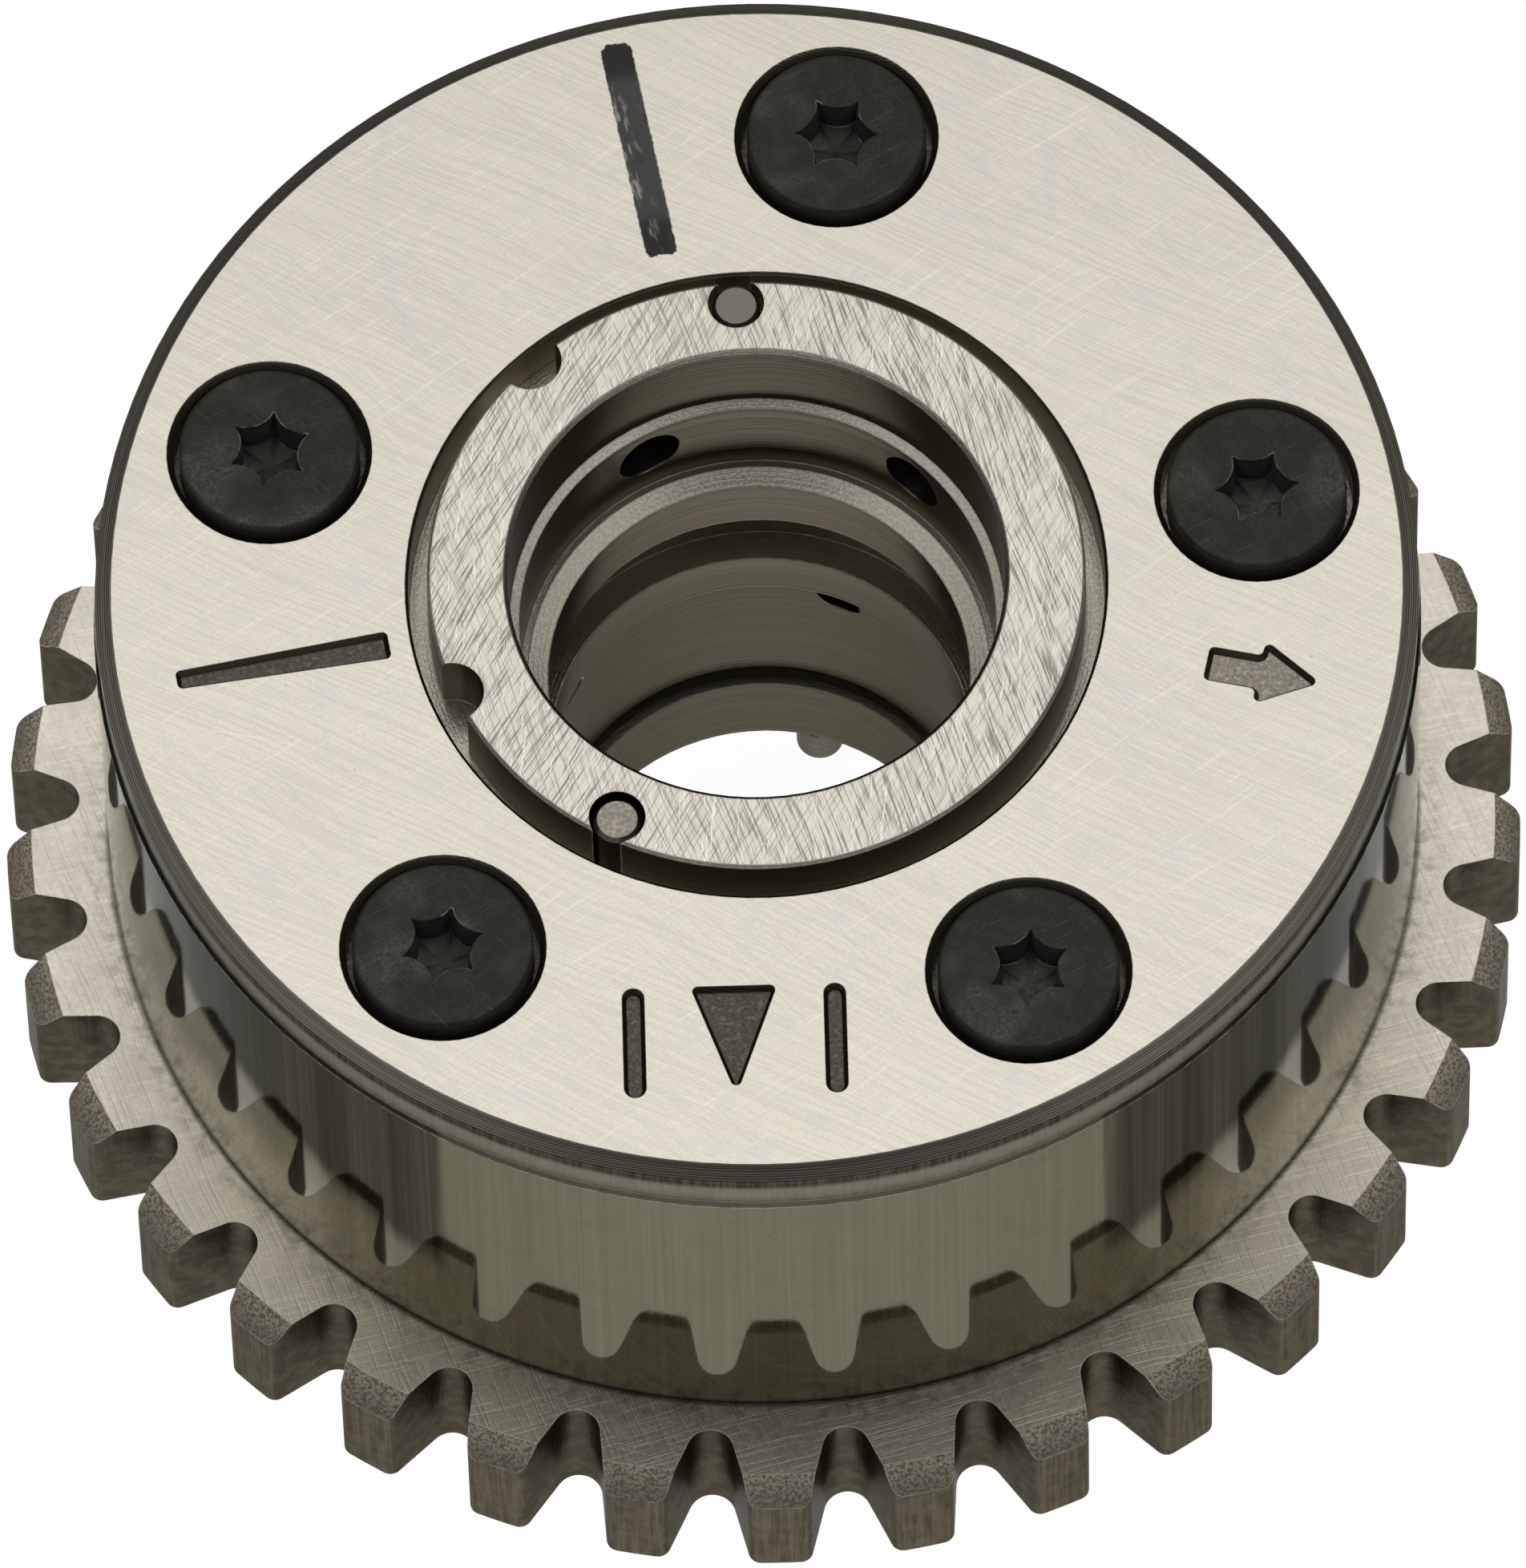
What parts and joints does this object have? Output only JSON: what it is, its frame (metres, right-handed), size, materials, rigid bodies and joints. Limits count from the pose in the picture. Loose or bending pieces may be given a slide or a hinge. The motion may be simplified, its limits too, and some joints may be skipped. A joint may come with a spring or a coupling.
{
  "type": "cam phaser",
  "caption": "Vane-type cam phaser: a rotor with vanes turns inside a chain-driven housing between a toothed sprocket plate and a screwed front cover, with a sprung lock pin.",
  "frame": {"origin": "on the camshaft axis at the rotor's rear face, which seats on the camshaft", "axes": "+Z along the camshaft axis, from the camshaft towards the front cover; +X towards the arrow's side of the cover; +Y completes the right-handed frame"},
  "size_m": [0.0954, 0.0953, 0.051],
  "materials": {
    "cover_steel": "ground",
    "housing_steel": "satin, drawn",
    "sprocket_steel": "sintered, tumbled",
    "rotor_steel": "ground face, turned bore",
    "black_oxide_screw": "black oxide",
    "pin_steel": "ground",
    "spring_steel": "drawn",
    "seal_polymer": "moulded"
  },
  "bodies": {
    "housing": {"sprocket": "sprocket_steel", "vane_housing": "housing_steel", "front_cover": "cover_steel", "cover_screw_1": "black_oxide_screw", "cover_screw_2": "black_oxide_screw", "cover_screw_3": "black_oxide_screw", "cover_screw_4": "black_oxide_screw", "cover_screw_5": "black_oxide_screw", "web_seal_1": "seal_polymer", "web_seal_2": "seal_polymer", "web_seal_3": "seal_polymer", "web_seal_4": "seal_polymer", "web_seal_5": "seal_polymer", "web_seal_spring_1": "spring_steel", "web_seal_spring_2": "spring_steel", "web_seal_spring_3": "spring_steel", "web_seal_spring_4": "spring_steel", "web_seal_spring_5": "spring_steel", "lock_bush": "pin_steel", "housing_dowel": "pin_steel"},
    "rotor": {"rotor": "rotor_steel", "vane_seal_1": "seal_polymer", "vane_seal_2": "seal_polymer", "vane_seal_3": "seal_polymer", "vane_seal_4": "seal_polymer", "vane_seal_5": "seal_polymer", "vane_seal_spring_1": "spring_steel", "vane_seal_spring_2": "spring_steel", "vane_seal_spring_3": "spring_steel", "vane_seal_spring_4": "spring_steel", "vane_seal_spring_5": "spring_steel", "rotor_pin_a": "pin_steel", "rotor_pin_b": "pin_steel", "cam_locating_pin": "pin_steel", "lock_pin_cap": "pin_steel", "lock_pin_spring": "spring_steel"},
    "lock_pin": {"lock_pin": "pin_steel"}
  },
  "joints": [
    {"name": "rotor_turn", "type": "hinge", "parent": "housing", "child": "rotor", "pos_m": [0, 0, 0], "axis": [0, 0, 1], "range_deg": [-30, 0]},
    {"name": "lock_pin_slide", "type": "slide", "parent": "rotor", "child": "lock_pin", "axis": [0, 0, 1], "range_m": [0, 0.003], "stiffness_N_per_m": 600, "springref_m": -0.01, "deforming": ["lock_pin_spring"]}
  ]
}
